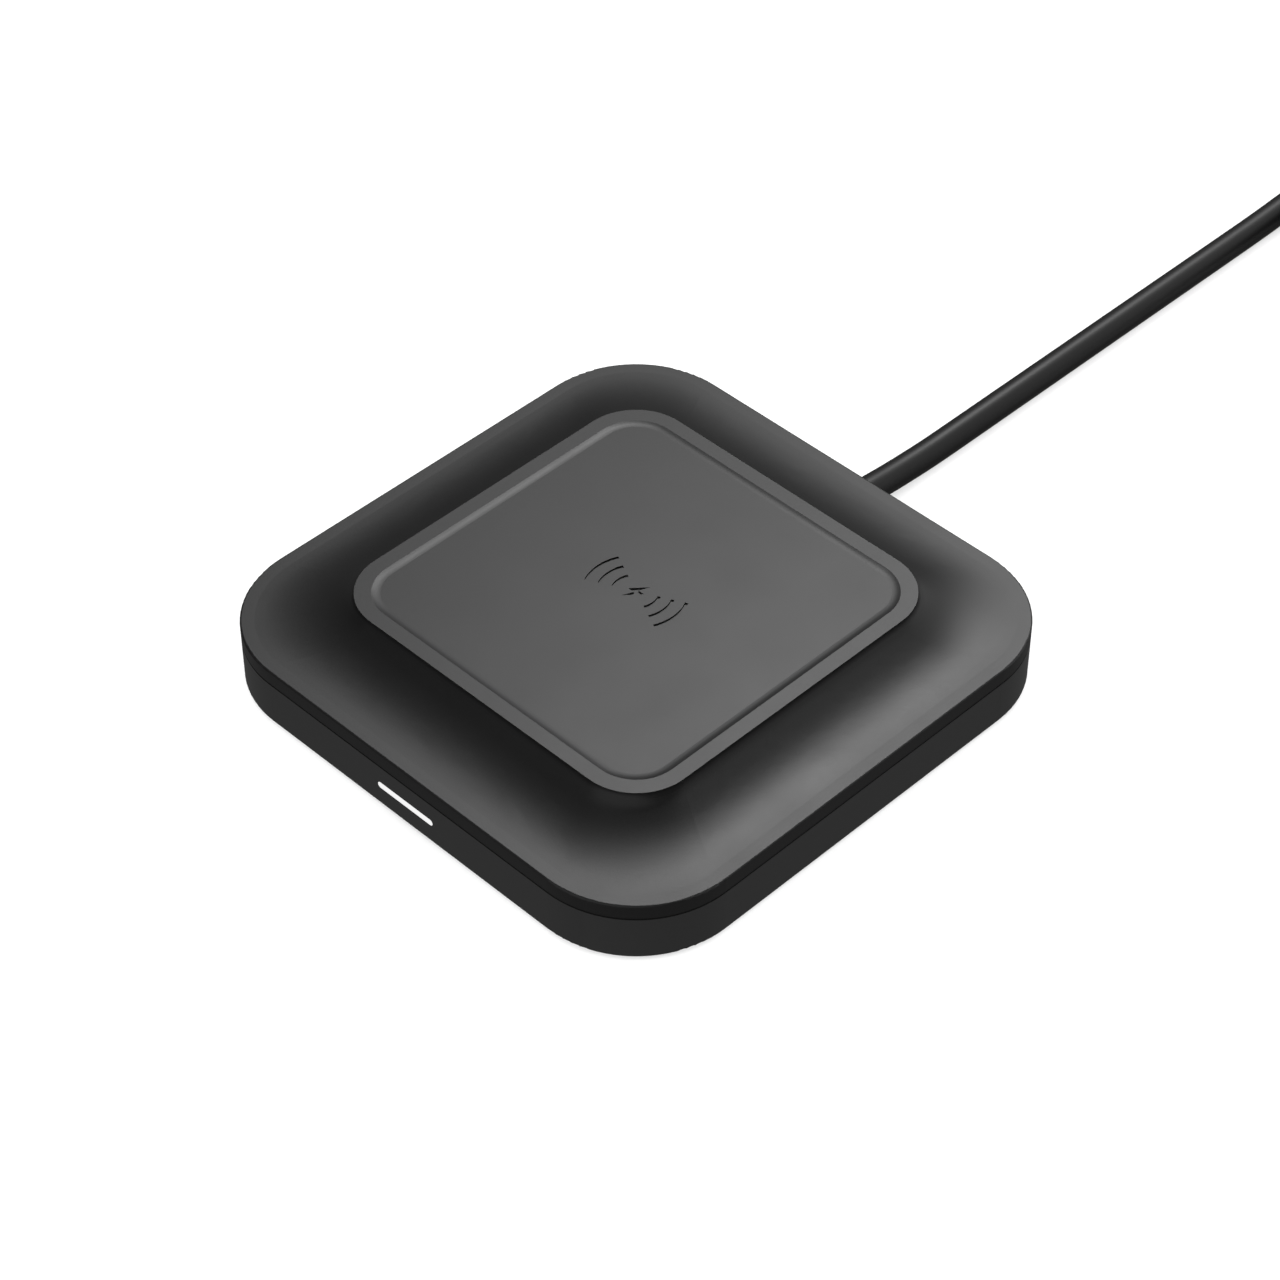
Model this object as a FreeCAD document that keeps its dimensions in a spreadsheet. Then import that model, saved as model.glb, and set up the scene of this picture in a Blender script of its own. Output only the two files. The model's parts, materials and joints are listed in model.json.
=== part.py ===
import FreeCAD, Part

import math
import os

import Sketcher
from FreeCAD import Placement, Rotation, Vector

# A free-standing wireless charging pad with a captive cord, in millimetres.
# +Z is up. The origin is the middle of the footprint, on the surface that the pad stands on.
# The status light is in the front wall (-Y) and the cord leaves through the back wall (+Y).
DIMENSIONS = {
    # Housing: two shells that meet at a thin parting groove
    "pad_side": 92.0,
    "pad_corner": 17.2,
    "wall": 1.8,
    "shell_bottom": 0.65,
    "bottom_fillet": 0.3,
    "floor_top": 2.6,
    "shell_top": 8.1,
    "seam_gap": 0.3,
    "rim_top": 10.8,
    "rim_fillet": 0.3,
    "tongue_thickness": 0.8,
    "tongue_top": 9.3,
    "tongue_play": 0.1,
    # Platform, and the moat that runs down from it to the rim
    "platform_side": 63.4,
    "platform_corner": 9.2,
    "platform_top": 15.3,
    "moat_side": 87.6,
    "recess_side": 58.5,
    "recess_corner": 7.0,
    "recess_depth": 0.18,
    "recess_flare": 1.3,
    "mark_depth": 0.25,
    "mark_stroke": 0.5,
    # Inside of the cover
    "inner_rim_side": 86.4,
    "inner_rim_corner": 14.3,
    "inner_rim_top": 9.4,
    "ceiling_side": 59.0,
    "ceiling_corner": 7.4,
    "ceiling": 12.6,
    # Screws that hold the two shells together, from below
    "case_screw_offset": 31.0,
    "case_boss_radius": 3.6,
    "case_boss_top": 5.0,
    "case_post_radius": 2.8,
    "case_post_top": 11.3,
    "case_pilot_top": 10.5,
    "case_bore_radius": 1.25,
    "case_sink_radius": 2.6,
    "case_sink_top": 3.2,
    "case_head_radius": 2.3,
    "case_head_height": 1.4,
    "case_shank_radius": 1.1,
    "case_shank_length": 6.8,
    # Foot
    "foot_recess_side": 74.0,
    "foot_recess_corner": 11.0,
    "foot_recess_top": 1.4,
    "foot_side": 73.6,
    "foot_corner": 10.8,
    "foot_thickness": 1.2,
    "foot_fillet": 0.3,
    # Status light
    "light_width": 11.35,
    "light_height": 1.1,
    "light_corner": 0.545,
    "light_axis": 4.5,
    "guide_width": 14.0,
    "guide_bottom": 2.8,
    "guide_top": 6.8,
    "guide_depth": 2.7,
    "shade_width": 18.0,
    "shade_depth": 2.2,
    "shade_bottom": 6.7,
    # Ballast in the floor
    "ballast_side": 52.0,
    "ballast_corner": 3.0,
    "ballast_thickness": 1.0,
    "sheet_thickness": 0.2,
    # Circuit board
    "board_side": 68.0,
    "board_corner": 4.0,
    "board_bottom": 4.6,
    "board_thickness": 1.0,
    "board_notch": 4.6,
    "board_tab_width": 18.0,
    "board_tab_reach": 40.8,
    "board_gap_width": 13.0,
    "board_gap_depth": 4.0,
    "board_screw_long": 30.0,
    "board_screw_short": 14.0,
    "standoff_radius": 2.2,
    "small_pilot_radius": 1.0,
    "small_bore_radius": 1.15,
    "small_head_radius": 1.8,
    "small_head_height": 1.2,
    "small_shank_radius": 1.0,
    "board_shank_length": 2.6,
    "recess_of_screw": 0.5,
    "thread_play": 0.02,
    # Coil, its shield and the tray that holds them
    "coil_start_radius": 10.6,
    "coil_pitch": 1.25,
    "coil_turns": 9,
    "litz_radius": 0.6,
    "lead_straight": 0.3,
    "lead_bend": 1.4,
    "coil_tape_outer": 22.6,
    "coil_tape_inner": 10.0,
    "ferrite_side": 48.0,
    "ferrite_corner": 4.0,
    "ferrite_bottom": 9.6,
    "ferrite_thickness": 1.6,
    "lead_hole_radius": 1.45,
    "tray_side": 58.0,
    "tray_corner": 5.0,
    "tray_bottom": 8.6,
    "tray_fence_outer": 50.4,
    "tray_fence_inner": 48.4,
    "tray_fence_top": 10.8,
    "tray_window": 8.0,
    "tray_screw_offset": 26.5,
    "tray_post_radius": 2.0,
    "tray_post_top": 13.0,
    "tray_shank_length": 3.4,
    "bead_radius": 0.7,
    "bead_leg_radius": 0.2,
    "bead_leg_offset": 0.35,
    # Cord where it is held in the housing
    "cord_radius": 2.3,
    "cord_hole_radius": 2.35,
    "exit_height": 3.5,
    "block_width": 9.2,
    "block_length": 5.4,
    "block_bottom": 2.0,
    "block_top": 6.6,
    "trough_width": 9.6,
    "trough_bottom": 1.15,
    "trough_start": 38.4,
    "rib_width": 14.0,
    "rib_thickness": 1.0,
    "clamp_length": 21.0,
    "clamp_width": 4.6,
    "clamp_corner": 2.2,
    "clamp_thickness": 1.4,
    "clamp_screw_offset": 8.0,
    "clamp_screw_y": 41.4,
    "clamp_shank_length": 3.6,
    "wire_radius": 0.5,
    # The cord's stored length: flat turns in two layers, a diameter apart, and the strap round them
    "winding_middle": 25.0,
    "winding_turns": 4.25,
    "winding_centre_y": 178.0,
    "strap_width": 10.0,
    "strap_thickness": 0.5,
    "strap_slack": 1.0,
    # Plug
    "plug_x": 72.0,
    "plug_start_y": 126.0,
    "plug_axis": 3.9,
    "boot_start_radius": 2.7,
    "boot_end_radius": 3.7,
    "boot_length": 11.0,
    "grip_width": 15.6,
    "grip_height": 7.8,
    "grip_corner": 2.4,
    "grip_length": 20.0,
    "grip_fillet": 0.8,
    "metal_width": 12.0,
    "metal_height": 4.5,
    "metal_corner": 0.6,
    "metal_wall": 0.35,
    "metal_length": 12.0,
    "metal_window": 2.2,
    "metal_window_offset": 2.6,
    "metal_window_start": 4.6,
    "tongue_width": 10.8,
    "tongue_height": 1.8,
    "tongue_length": 11.4,
    "contact_width": 1.0,
    "contact_height": 0.2,
    "contact_length": 8.0,
    "contact_pitch": 2.3,
}

# The moat's profile is a quarter ellipse, upright at the platform and level at the rim.
# These angles of its sweep are the levels at which its outline is drawn.
SURFACE_LEVELS = (0.0, 6.5, 12.84)
MOAT_LEVELS = (12.84, 22.0, 33.0, 45.0, 57.0, 69.0, 80.0, 90.0)
CEILING_LEVELS = (0.0, 15.0, 30.0, 45.0, 60.0, 75.0, 90.0)
# The recess's outline is drawn at these shares of its flare, from its floor to its lip.
RECESS_SHARES = (0.0, 0.25, 0.5, 0.75, 1.0)

# A bend in a cord's route takes this share of its shorter run, on each side of the corner.
BEND_SHARE = 0.45

TOLERANCE = 1e-6

doc = FreeCAD.newDocument("charging_pad")
sheet = doc.addObject("Spreadsheet::Sheet", "Size")
for row, (alias, number) in enumerate(DIMENSIONS.items(), start=1):
    sheet.set(f"A{row}", alias)
    sheet.set(f"B{row}", str(number))
    sheet.setAlias(f"B{row}", alias)
doc.recompute()

kept = []


def value(expression):
    """The number that an expression over the sheet gives."""
    return float(sheet.evalExpression(expression))


def bind(item, **expressions):
    for name, expression in expressions.items():
        item.setExpression(name, expression)


def place(item, x="0", y="0", z="0", rotation=None):
    if rotation is not None:
        item.Placement = Placement(Vector(), rotation)
    for axis, expression in zip("xyz", (x, y, z)):
        item.setExpression(f"Placement.Base.{axis}", expression)


def keep(item, label):
    item.Label = label
    if item.Label != label:
        raise RuntimeError(f"{label} is the name of another item")
    kept.append(item)
    return item


# ---------------------------------------------------------------- sketches and features of a body


def new_body(name):
    return doc.addObject("PartDesign::Body", name)


def origin_item(body, role):
    return next(item for item in body.Origin.OriginFeatures if item.Role == role)


def sketch_on(body, name, height="0", role="XY_Plane", x="0", y="0"):
    sketch = body.newObject("Sketcher::SketchObject", name)
    sketch.AttachmentSupport = (origin_item(body, role), [""])
    sketch.MapMode = "FlatFace"
    for axis, expression in zip("xyz", (x, y, height)):
        sketch.setExpression(f"AttachmentOffset.Base.{axis}", expression)
    return sketch


def dimension(sketch, name, expression, kind, *where):
    index = sketch.addConstraint(Sketcher.Constraint(kind, *where, value(expression)))
    name = f"{name}{index}"
    sketch.renameConstraint(index, name)
    sketch.setExpression(f"Constraints.{name}", expression)


def line(sketch, start, end):
    segment = Part.LineSegment(Vector(*start, 0), Vector(*end, 0))
    return sketch.addGeometry(segment, False)


def relate(sketch, *constraint):
    sketch.addConstraint(Sketcher.Constraint(*constraint))


def rounded_rectangle(sketch, width, depth, corner):
    """A rectangle about the sketch's origin, with tangent arcs at its corners."""
    half_x, half_y, radius = value(width) / 2, value(depth) / 2, value(corner)
    in_x, in_y = half_x - radius, half_y - radius
    sides = (
        ((-in_x, -half_y), (in_x, -half_y), (in_x, -in_y)),
        ((half_x, -in_y), (half_x, in_y), (in_x, in_y)),
        ((in_x, half_y), (-in_x, half_y), (-in_x, in_y)),
        ((-half_x, in_y), (-half_x, -in_y), (-in_x, -in_y)),
    )
    lines, arcs = [], []
    for turn, (start, end, centre) in enumerate(sides):
        lines.append(line(sketch, start, end))
        angle = math.radians(90 * turn - 90)
        circle = Part.Circle(Vector(*centre, 0), Vector(0, 0, 1), radius)
        arc = Part.ArcOfCircle(circle, angle, angle + math.pi / 2)
        arcs.append(sketch.addGeometry(arc, False))
    for turn in range(4):
        relate(sketch, "Tangent", lines[turn], 2, arcs[turn], 1)
        relate(sketch, "Tangent", arcs[turn], 2, lines[(turn + 1) % 4], 1)
        relate(sketch, ("Horizontal", "Vertical")[turn % 2], lines[turn])
    for arc in arcs[1:]:
        relate(sketch, "Equal", arcs[0], arc)
    relate(sketch, "Symmetric", arcs[0], 3, arcs[2], 3, -1, 1)
    dimension(sketch, "corner", corner, "Radius", arcs[0])
    dimension(sketch, "width", width, "DistanceX", lines[3], 1, lines[1], 1)
    dimension(sketch, "depth", depth, "DistanceY", lines[0], 1, lines[2], 1)


def rectangle(sketch, width, depth):
    """A sharp-cornered rectangle about the sketch's origin."""
    half_x, half_y = value(width) / 2, value(depth) / 2
    corners = ((-half_x, -half_y), (half_x, -half_y), (half_x, half_y), (-half_x, half_y))
    lines = [line(sketch, corners[turn], corners[(turn + 1) % 4]) for turn in range(4)]
    for turn in range(4):
        relate(sketch, "Coincident", lines[turn], 2, lines[(turn + 1) % 4], 1)
        relate(sketch, ("Horizontal", "Vertical")[turn % 2], lines[turn])
    relate(sketch, "Symmetric", lines[0], 1, lines[2], 1, -1, 1)
    dimension(sketch, "width", width, "DistanceX", lines[0], 1, lines[0], 2)
    dimension(sketch, "depth", depth, "DistanceY", lines[1], 1, lines[1], 2)


def circle(sketch, radius, x=None, y=None):
    """A circle at x and y from the sketch's origin, or on its axes where they are left out."""
    centre = Vector(value(x) if x else 0, value(y) if y else 0, 0)
    index = sketch.addGeometry(Part.Circle(centre, Vector(0, 0, 1), value(radius)), False)
    dimension(sketch, "radius", radius, "Radius", index)
    for distance, kind, axis in ((x, "DistanceX", -2), (y, "DistanceY", -1)):
        if distance:
            dimension(sketch, "centre", distance, kind, -1, 1, index, 3)
        else:
            relate(sketch, "PointOnObject", index, 3, axis)


def pad(body, sketch, length, reverse=False):
    feature = body.newObject("PartDesign::Pad", f"{sketch.Name}_pad")
    feature.Profile = sketch
    feature.Reversed = reverse
    bind(feature, Length=length)
    return feature


def pocket(body, sketch, length, reverse=True):
    """A pocket. It is reversed by default, so that it cuts along the sketch's normal."""
    doc.recompute()
    before = body.Shape.Volume
    feature = body.newObject("PartDesign::Pocket", f"{sketch.Name}_pocket")
    feature.Profile = sketch
    feature.Reversed = reverse
    bind(feature, Length=length)
    doc.recompute()
    if body.Shape.Volume > before - TOLERANCE:
        raise RuntimeError(f"{feature.Name} cuts nothing")
    return feature


def around(body, *features):
    """The features, repeated at four places about the vertical axis."""
    pattern = body.newObject("PartDesign::PolarPattern", f"{features[0].Name}_ring")
    pattern.Originals = list(features)
    pattern.Axis = (origin_item(body, "Z_Axis"), [""])
    pattern.Angle = 360
    pattern.Occurrences = 4
    body.Tip = pattern
    return pattern


def round_edges(body, radius, chosen):
    """A fillet on the edges of the body for which chosen is true."""
    doc.recompute()
    base = body.Tip
    names = [f"Edge{n}" for n, edge in enumerate(base.Shape.Edges, start=1) if chosen(edge)]
    feature = body.newObject("PartDesign::Fillet", f"{body.Name}_fillet")
    feature.Base = (base, names)
    bind(feature, Radius=radius)
    return feature


def at_level(expression):
    """True for edges that lie flat at a height."""
    level = value(expression)
    return lambda edge: all(abs(z - level) < TOLERANCE for z in (edge.BoundBox.ZMin, edge.BoundBox.ZMax))


def loft(body, kind, sections):
    feature = body.newObject(f"PartDesign::{kind}", f"{sections[0].Name}_loft")
    feature.Profile = sections[0]
    feature.Sections = sections[1:]
    return feature


def flared_sections(body, name, levels, inner, outer, inner_corner, outer_corner, top, bottom):
    """Rounded squares that follow a quarter ellipse from an inner, upper edge to an outer, lower one."""
    sections = []
    for number, angle in enumerate(levels):
        across = f"(1 - cos({angle} deg))"
        height = f"{bottom} + ({top} - ({bottom})) * (1 - sin({angle} deg))"
        side = f"{inner} + ({outer} - ({inner})) * {across}"
        corner = f"{inner_corner} + ({outer_corner} - ({inner_corner})) * {across}"
        section = sketch_on(body, f"{name}_{number}", height)
        rounded_rectangle(section, side, side, corner)
        sections.append(section)
    return sections


def plate(label, side, corner, bottom, thickness):
    """A rounded square sheet about the vertical axis."""
    body = new_body(label)
    outline = sketch_on(body, f"{label}_outline", bottom)
    rounded_rectangle(outline, side, side, corner)
    pad(body, outline, thickness)
    return keep(body, label)


# ---------------------------------------------------------------- primitives and groups


def block(name, length, width, height):
    """A box about its own vertical axis, standing on its own origin."""
    box = doc.addObject("Part::Box", name)
    bind(box, Length=length, Width=width, Height=height)
    box.Placement = Placement(Vector(-value(length) / 2, -value(width) / 2, 0), Rotation())
    return box


def group(label, source, places, rotation=None):
    """Separate copies of one piece, each at its own place, in one node."""
    links = []
    for number, (x, y, z) in enumerate(places):
        link = doc.addObject("App::Link", f"{label}_{number}")
        link.LinkedObject = source
        link.LinkTransform = True
        place(link, x, y, z, rotation)
        links.append(link)
    compound = doc.addObject("Part::Compound", label)
    compound.Links = links
    return keep(compound, label)


def four_places(long, short, height):
    """Four places a quarter turn apart about the vertical axis."""
    turns = ((long, short), (f"-{short}", long), (f"-{long}", f"-{short}"), (short, f"-{long}"))
    return [(x, y, height) for x, y in turns]


def screw(name, head_radius, head_height, shank_radius, shank_length):
    """A pan-head screw with a cross recess. Its head stands up from its origin and its shank hangs below."""
    body = new_body(name)
    head = sketch_on(body, f"{name}_head")
    circle(head, head_radius)
    pad(body, head, head_height)
    round_edges(body, f"{head_height} * 0.45", at_level(head_height))
    shank = sketch_on(body, f"{name}_shank")
    circle(shank, shank_radius)
    pad(body, shank, shank_length, reverse=True)
    for number, (along, across) in enumerate((("1.1", "0.25"), ("0.25", "1.1"))):
        slot = sketch_on(body, f"{name}_slot_{number}", head_height)
        rectangle(slot, f"{head_radius} * {along}", f"{head_radius} * {across}")
        pocket(body, slot, "Size.recess_of_screw", reverse=False)
    return body


# ---------------------------------------------------------------- routes and tubes


def rounded_route(points):
    """A wire of straight runs joined by tangent arcs, and the radii of the arcs."""
    edges, radii = [], []
    cursor = points[0]
    for before, corner, after in zip(points, points[1:], points[2:]):
        arriving = corner - before
        leaving = after - corner
        turn = arriving.getAngle(leaving)
        setback = BEND_SHARE * min(arriving.Length, leaving.Length)
        radius = setback / math.tan(turn / 2)
        arriving.normalize()
        leaving.normalize()
        inward = leaving - arriving
        inward.normalize()
        start = corner - arriving * setback
        middle = corner + inward * (radius / math.cos(turn / 2) - radius)
        end = corner + leaving * setback
        edges.append(Part.LineSegment(cursor, start).toShape())
        edges.append(Part.Arc(start, middle, end).toShape())
        radii.append(radius)
        cursor = end
    edges.append(Part.LineSegment(cursor, points[-1]).toShape())
    return Part.Wire(edges), radii


def tube(name, wire, radius):
    """A round tube along a wire, as a sweep. Its volume is compared with its section times its length."""
    route = doc.addObject("Part::Feature", f"{name}_route")
    route.Shape = wire
    section = doc.addObject("Part::Circle", f"{name}_section")
    bind(section, Radius=radius)
    first = wire.Edges[0]
    heading = first.tangentAt(first.FirstParameter)
    section.Placement = Placement(first.valueAt(first.FirstParameter), Rotation(Vector(0, 0, 1), heading))
    sweep = doc.addObject("Part::Sweep", name)
    sweep.Sections = [section]
    sweep.Spine = (route, [f"Edge{number}" for number in range(1, len(wire.Edges) + 1)])
    sweep.Solid = True
    doc.recompute()
    expected = math.pi * value(radius) ** 2 * wire.Length
    if abs(sweep.Shape.Volume - expected) > 0.01 * expected:
        raise RuntimeError(f"{name}: volume {sweep.Shape.Volume:.1f} and not {expected:.1f}")
    print(f"{name}: length {wire.Length:.1f}, volume {sweep.Shape.Volume:.1f} of {expected:.1f}")
    return sweep


def cord_tube(name, points):
    """A stretch of the cord along hand-placed points."""
    wire, radii = rounded_route([Vector(*point) for point in points])
    print(f"{name}: bend radii", ", ".join(f"{radius:.0f}" for radius in radii))
    return tube(name, wire, "Size.cord_radius")


# ---------------------------------------------------------------- lower shell

COVER_BOTTOM = "Size.shell_top + Size.seam_gap"
INNER_SIDE = "Size.pad_side - 2 * Size.wall"
INNER_CORNER = "Size.pad_corner - Size.wall"
TONGUE_SIDE = f"{INNER_SIDE} + 2 * Size.tongue_thickness"
TONGUE_CORNER = f"{INNER_CORNER} + Size.tongue_thickness"
BACK_WALL_INSIDE = "Size.pad_side / 2 - Size.wall"
MOAT_CORNER = "Size.pad_corner - (Size.pad_side - Size.moat_side) / 2"
BOARD_TOP = "Size.board_bottom + Size.board_thickness"


def make_lower_shell():
    body = new_body("lower_shell")
    outline = sketch_on(body, "shell_outline", "Size.shell_bottom")
    rounded_rectangle(outline, "Size.pad_side", "Size.pad_side", "Size.pad_corner")
    pad(body, outline, "Size.shell_top - Size.shell_bottom")
    round_edges(body, "Size.bottom_fillet", at_level("Size.shell_bottom"))

    # The locating tongue stands on the wall's inner half and closes the parting groove from inside.
    tongue = sketch_on(body, "tongue_outline", "Size.shell_top")
    rounded_rectangle(tongue, TONGUE_SIDE, TONGUE_SIDE, TONGUE_CORNER)
    pad(body, tongue, "Size.tongue_top - Size.shell_top")
    hollow = sketch_on(body, "shell_hollow", "Size.floor_top")
    rounded_rectangle(hollow, INNER_SIDE, INNER_SIDE, INNER_CORNER)
    pocket(body, hollow, "Size.tongue_top - Size.floor_top")

    foot = sketch_on(body, "foot_recess", "Size.shell_bottom")
    rounded_rectangle(foot, "Size.foot_recess_side", "Size.foot_recess_side", "Size.foot_recess_corner")
    pocket(body, foot, "Size.foot_recess_top - Size.shell_bottom")

    boss = sketch_on(body, "case_boss", "Size.floor_top")
    circle(boss, "Size.case_boss_radius", "Size.case_screw_offset", "Size.case_screw_offset")
    around(body, pad(body, boss, "Size.case_boss_top - Size.floor_top"))
    bore = sketch_on(body, "case_bore", "Size.shell_bottom")
    circle(bore, "Size.case_bore_radius", "Size.case_screw_offset", "Size.case_screw_offset")
    around(body, pocket(body, bore, "Size.case_boss_top - Size.shell_bottom"))
    sink = sketch_on(body, "case_sink", "Size.shell_bottom")
    circle(sink, "Size.case_sink_radius", "Size.case_screw_offset", "Size.case_screw_offset")
    around(body, pocket(body, sink, "Size.case_sink_top - Size.shell_bottom"))

    standoff = sketch_on(body, "standoff", "Size.floor_top")
    circle(standoff, "Size.standoff_radius", "Size.board_screw_long", "Size.board_screw_short")
    around(body, pad(body, standoff, "Size.board_bottom - Size.floor_top"))
    pilot = sketch_on(body, "standoff_pilot", f"{BOARD_TOP} - Size.board_shank_length")
    circle(pilot, "Size.small_pilot_radius", "Size.board_screw_long", "Size.board_screw_short")
    around(body, pocket(body, pilot, "Size.board_shank_length"))

    # Cord: a trough in the floor, a notched rib in front of it, two clamp posts and the hole in the wall.
    trough_middle = f"(Size.trough_start + {BACK_WALL_INSIDE}) / 2"
    trough = sketch_on(body, "trough", "Size.trough_bottom", y=trough_middle)
    rectangle(trough, "Size.trough_width", f"{BACK_WALL_INSIDE} - Size.trough_start")
    pocket(body, trough, "Size.floor_top - Size.trough_bottom")
    rib = sketch_on(body, "rib", "Size.floor_top", y="Size.trough_start - Size.rib_thickness / 2")
    rectangle(rib, "Size.rib_width", "Size.rib_thickness")
    pad(body, rib, "Size.block_top - Size.floor_top")
    notch = sketch_on(body, "rib_notch", "-Size.trough_start", "XZ_Plane", y="Size.block_top")
    rectangle(notch, "2 * Size.cord_hole_radius", "2 * (Size.block_top - Size.exit_height)")
    pocket(body, notch, "Size.rib_thickness")
    saddle = sketch_on(body, "rib_saddle", "-Size.trough_start", "XZ_Plane", y="Size.exit_height")
    circle(saddle, "Size.cord_hole_radius")
    pocket(body, saddle, "Size.rib_thickness")
    posts = sketch_on(body, "clamp_posts", "Size.floor_top", y="Size.clamp_screw_y")
    circle(posts, "Size.standoff_radius", "Size.clamp_screw_offset")
    circle(posts, "Size.standoff_radius", "-Size.clamp_screw_offset")
    pad(body, posts, "Size.block_top - Size.floor_top")
    pilots = sketch_on(body, "clamp_pilots", "Size.block_top", y="Size.clamp_screw_y")
    circle(pilots, "Size.small_pilot_radius", "Size.clamp_screw_offset")
    circle(pilots, "Size.small_pilot_radius", "-Size.clamp_screw_offset")
    pocket(body, pilots, "Size.clamp_shank_length - Size.clamp_thickness", reverse=False)
    hole = sketch_on(body, "cord_hole", "-Size.pad_side / 2", "XZ_Plane", y="Size.exit_height")
    circle(hole, "Size.cord_hole_radius")
    pocket(body, hole, "Size.wall")

    slot = sketch_on(body, "light_slot", f"{BACK_WALL_INSIDE}", "XZ_Plane", y="Size.light_axis")
    rounded_rectangle(slot, "Size.light_width", "Size.light_height", "Size.light_corner")
    pocket(body, slot, "Size.wall")
    return keep(body, "lower_shell")


# ---------------------------------------------------------------- cover and its soft top


def make_top_cover():
    body = new_body("top_cover")
    outline = sketch_on(body, "cover_outline", COVER_BOTTOM)
    rounded_rectangle(outline, "Size.pad_side", "Size.pad_side", "Size.pad_corner")
    pad(body, outline, f"Size.rim_top - ({COVER_BOTTOM})")
    round_edges(body, "Size.rim_fillet", at_level("Size.rim_top"))
    moat = flared_sections(
        body, "moat", MOAT_LEVELS, "Size.platform_side", "Size.moat_side",
        "Size.platform_corner", MOAT_CORNER, "Size.platform_top", "Size.rim_top",
    )
    loft(body, "AdditiveLoft", moat)

    groove_side = f"{TONGUE_SIDE} + 2 * Size.tongue_play"
    groove = sketch_on(body, "tongue_groove", COVER_BOTTOM)
    rounded_rectangle(groove, groove_side, groove_side, f"{TONGUE_CORNER} + Size.tongue_play")
    pocket(body, groove, f"Size.inner_rim_top - ({COVER_BOTTOM})")
    ceiling = flared_sections(
        body, "ceiling", CEILING_LEVELS, "Size.ceiling_side", "Size.inner_rim_side",
        "Size.ceiling_corner", "Size.inner_rim_corner", "Size.ceiling", "Size.inner_rim_top",
    )
    loft(body, "SubtractiveLoft", ceiling)

    post = sketch_on(body, "case_post", "Size.case_boss_top")
    circle(post, "Size.case_post_radius", "Size.case_screw_offset", "Size.case_screw_offset")
    around(body, pad(body, post, "Size.case_post_top - Size.case_boss_top"))
    pilot = sketch_on(body, "case_pilot", "Size.case_boss_top")
    circle(pilot, "Size.case_shank_radius", "Size.case_screw_offset", "Size.case_screw_offset")
    around(body, pocket(body, pilot, "Size.case_pilot_top - Size.case_boss_top"))

    post = sketch_on(body, "tray_post", "Size.ferrite_bottom")
    circle(post, "Size.tray_post_radius", "Size.tray_screw_offset", "Size.tray_screw_offset")
    around(body, pad(body, post, "Size.tray_post_top - Size.ferrite_bottom"))
    pilot = sketch_on(body, "tray_pilot", "Size.ferrite_bottom")
    circle(pilot, "Size.small_pilot_radius", "Size.tray_screw_offset", "Size.tray_screw_offset")
    around(body, pocket(body, pilot, "Size.tray_shank_length"))
    return keep(body, "top_cover")


# The charging mark: half of a lightning bolt's outline, and the radio waves on each side of it
BOLT_HALF = ((0.9, 2.1), (-1.25, -0.35), (-0.12, -0.35))
WAVE_RADII = (3.3, 5.4, 7.5)
WAVE_HALF_ANGLE = math.radians(26)


def wave_outline(sketch, inner_radius, side):
    """A ring sector that opens sideways: a radio wave of the charging mark."""
    stroke = value("Size.mark_stroke")
    middle = 0.0 if side > 0 else math.pi
    arcs = []
    for radius in (inner_radius, inner_radius + stroke):
        ring = Part.Circle(Vector(), Vector(0, 0, 1), radius)
        arcs.append(Part.ArcOfCircle(ring, middle - WAVE_HALF_ANGLE, middle + WAVE_HALF_ANGLE))
    for arc in arcs:
        sketch.addGeometry(arc, False)
    for end in ("StartPoint", "EndPoint"):
        sketch.addGeometry(Part.LineSegment(getattr(arcs[0], end), getattr(arcs[1], end)), False)


def bolt_outline(sketch):
    """A plain lightning bolt about the sketch's origin."""
    corners = BOLT_HALF + tuple((-x, -y) for x, y in BOLT_HALF)
    for start, end in zip(corners, corners[1:] + corners[:1]):
        line(sketch, start, end)


def make_charging_surface():
    body = new_body("charging_surface")
    levels = flared_sections(
        body, "surface", SURFACE_LEVELS, "Size.platform_side", "Size.moat_side",
        "Size.platform_corner", MOAT_CORNER, "Size.platform_top", "Size.rim_top",
    )
    loft(body, "AdditiveLoft", levels)
    # The recess meets the lip at a crisp, shallow edge and runs into its own floor in a parabola.
    sections = []
    for number, share in enumerate(RECESS_SHARES):
        height = f"Size.platform_top - Size.recess_depth * (1 - {share} ^ 2)"
        section = sketch_on(body, f"recess_{number}", height)
        inset = f"Size.recess_flare * (1 - {share})"
        side = f"Size.recess_side - 2 * {inset}"
        rounded_rectangle(section, side, side, f"Size.recess_corner - {inset}")
        sections.append(section)
    loft(body, "SubtractiveLoft", sections)
    mark = sketch_on(body, "mark", "Size.platform_top - Size.recess_depth - Size.mark_depth")
    bolt_outline(mark)
    for radius in WAVE_RADII:
        wave_outline(mark, radius, 1)
        wave_outline(mark, radius, -1)
    pocket(body, mark, "2 * Size.mark_depth")
    return keep(body, "charging_surface")


# ---------------------------------------------------------------- foot, light and ballast


def make_foot():
    body = plate("rubber_foot", "Size.foot_side", "Size.foot_corner", "0", "Size.foot_thickness")
    round_edges(body, "Size.foot_fillet", at_level("0"))
    plate(
        "foot_adhesive", "Size.foot_side", "Size.foot_corner", "Size.foot_thickness",
        "Size.foot_recess_top - Size.foot_thickness",
    )


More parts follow.
